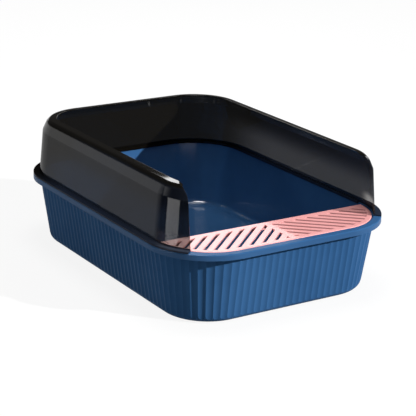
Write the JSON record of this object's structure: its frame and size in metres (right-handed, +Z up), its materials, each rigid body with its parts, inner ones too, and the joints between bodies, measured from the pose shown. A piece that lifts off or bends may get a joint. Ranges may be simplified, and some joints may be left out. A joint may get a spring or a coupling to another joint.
{
  "type": "open-top litter box",
  "caption": "Open-top litter box: a fluted tray with a flat rim, a see-through wrap-round guard that lifts off, and a slotted footboard across the front doorway.",
  "frame": {"origin": "middle of the tray's flat underside, on the surface that the box stands on", "axes": "+X along the front to the right as seen from the doorway, +Y from the doorway to the back, +Z up"},
  "size_m": [0.4, 0.556, 0.2081],
  "materials": {
    "tray": "satin blue moulded plastic",
    "guard": "see-through smoke-grey plastic, polished",
    "footboard": "satin pale pink moulded plastic"
  },
  "bodies": {
    "tray": {"tray": "tray"},
    "guard": {"guard": "guard"},
    "footboard": {"footboard": "footboard"}
  },
  "joints": [
    {"name": "guard_lift", "type": "slide", "parent": "tray", "child": "guard", "axis": [0, 0, 1], "range_m": [0, 0.15]},
    {"name": "footboard_tip", "type": "hinge", "parent": "tray", "child": "footboard", "pos_m": [0, -0.18, 0.116], "axis": [-1, 0, 0], "range_deg": [0, 95]}
  ]
}
